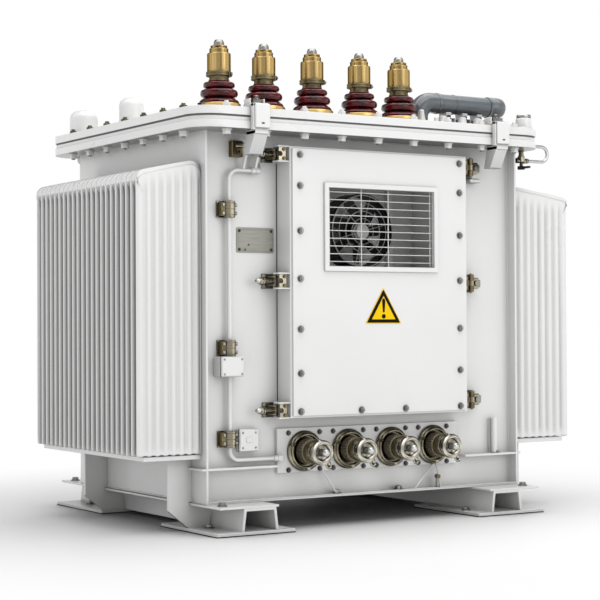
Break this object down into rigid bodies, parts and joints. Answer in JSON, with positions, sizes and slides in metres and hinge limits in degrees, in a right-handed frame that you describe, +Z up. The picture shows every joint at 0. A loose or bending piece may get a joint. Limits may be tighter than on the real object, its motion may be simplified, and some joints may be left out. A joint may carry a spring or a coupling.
{
  "type": "oil-filled distribution transformer",
  "caption": "Oil-filled distribution transformer tank on skids with finned radiators, lid bushings, capped plug-in couplers and a hinged door over a cooling fan.",
  "frame": {"origin": "on the ground at the centre of the four anchor holes in the foot plates", "axes": "+Z up, -Y out of the front with the door and couplers, +X to the right seen from the front"},
  "size_m": [1.445, 1.003, 1.309],
  "materials": {
    "white_paint": "gloss powder coat",
    "white_rim": "gloss powder coat",
    "dark_gasket": "matt",
    "zinc": "zinc plated",
    "brass_parts": "satin",
    "nickel": "nickel plated, satin",
    "porcelain": "brown glaze",
    "blue_grey_paint": "satin paint",
    "black_plastic": "moulded",
    "light_plastic": "moulded",
    "warning_yellow": "printed plate",
    "plate_metal": "etched",
    "core_steel": "laminated",
    "copper_paper": "wound",
    "frame_paint": "primer"
  },
  "bodies": {
    "housing": {"tank_shell": "white_paint", "equipment_niche": "white_paint", "tank_flange": "white_rim", "lid_gasket": "dark_gasket", "lid_plate": "white_rim", "lid_bolts": "brass_parts", "lid_nuts": "zinc", "stiffener_band": "white_paint", "left_radiator": "white_paint", "right_radiator": "white_paint", "radiator_supports": "white_paint", "left_skid": "white_paint", "right_skid": "white_paint", "foot_plates": "white_paint", "frame_bolts": "zinc", "frame_hinge_leaves": "brass_parts", "latch_brackets": "nickel", "connector_plate": "white_paint", "coupler_sockets": "nickel", "coupler_bolts": "zinc", "bushing_insulators": "porcelain", "bushing_terminals": "brass_parts", "bushing_rings": "zinc", "expansion_pipe": "blue_grey_paint", "pipe_end_cap": "blue_grey_paint", "pipe_saddles": "white_paint", "dome_caps": "white_paint", "lifting_brackets": "white_paint", "bracket_bolts": "zinc", "conduit": "white_paint", "conduit_clamps": "nickel", "junction_boxes": "white_paint", "nameplate": "plate_metal", "valve_body": "nickel", "vent_tube": "nickel", "fan_frame": "black_plastic", "fan_guard": "zinc", "fan_motor": "black_plastic", "core": "core_steel", "lv_windings": "copper_paper", "hv_windings": "copper_paper", "core_clamps": "frame_paint"},
    "door": {"door_box": "white_paint", "door_gasket": "dark_gasket", "door_cover": "white_paint", "cover_bolts": "zinc", "window_bezel": "white_paint", "window_grille": "white_paint", "warning_plate": "warning_yellow", "door_hinge_leaves": "brass_parts", "latch_lugs": "white_paint"},
    "swing_bolt_1": {"swing_bolt_1": "nickel"},
    "swing_bolt_2": {"swing_bolt_2": "nickel"},
    "swing_bolt_3": {"swing_bolt_3": "nickel"},
    "coupler_cap_1": {"coupler_cap_1": "nickel"},
    "coupler_cap_2": {"coupler_cap_2": "nickel"},
    "coupler_cap_3": {"coupler_cap_3": "nickel"},
    "coupler_cap_4": {"coupler_cap_4": "nickel"},
    "fan_rotor_body": {"fan_rotor": "light_plastic"},
    "valve_handle_body": {"valve_handle": "black_plastic"}
  },
  "joints": [
    {"name": "door_hinge", "type": "hinge", "parent": "housing", "child": "door", "pos_m": [0.342, -0.418, 0.661], "axis": [0, 0, 1], "range_deg": [0, 90]},
    {"name": "fan_spin", "type": "hinge", "parent": "housing", "child": "fan_rotor_body", "pos_m": [0.005, -0.34, 0.804], "axis": [0, 1, 0], "continuous": true},
    {"name": "valve_turn", "type": "hinge", "parent": "housing", "child": "valve_handle_body", "pos_m": [0.552, -0.392, 1.004], "axis": [0, 0, 1], "range_deg": [0, 90]},
    {"name": "swing_bolt_1_hinge", "type": "hinge", "parent": "housing", "child": "swing_bolt_1", "pos_m": [-0.308, -0.404, 1], "axis": [0, 0, 1], "range_deg": [0, 90]},
    {"name": "swing_bolt_2_hinge", "type": "hinge", "parent": "housing", "child": "swing_bolt_2", "pos_m": [-0.308, -0.404, 0.661], "axis": [0, 0, 1], "range_deg": [0, 90]},
    {"name": "swing_bolt_3_hinge", "type": "hinge", "parent": "housing", "child": "swing_bolt_3", "pos_m": [-0.308, -0.404, 0.316], "axis": [0, 0, 1], "range_deg": [0, 90]},
    {"name": "cap_1_pull", "type": "slide", "parent": "housing", "child": "coupler_cap_1", "axis": [0, -1, 0], "range_m": [0, 0.06]},
    {"name": "cap_2_pull", "type": "slide", "parent": "housing", "child": "coupler_cap_2", "axis": [0, -1, 0], "range_m": [0, 0.06]},
    {"name": "cap_3_pull", "type": "slide", "parent": "housing", "child": "coupler_cap_3", "axis": [0, -1, 0], "range_m": [0, 0.06]},
    {"name": "cap_4_pull", "type": "slide", "parent": "housing", "child": "coupler_cap_4", "axis": [0, -1, 0], "range_m": [0, 0.06]}
  ]
}
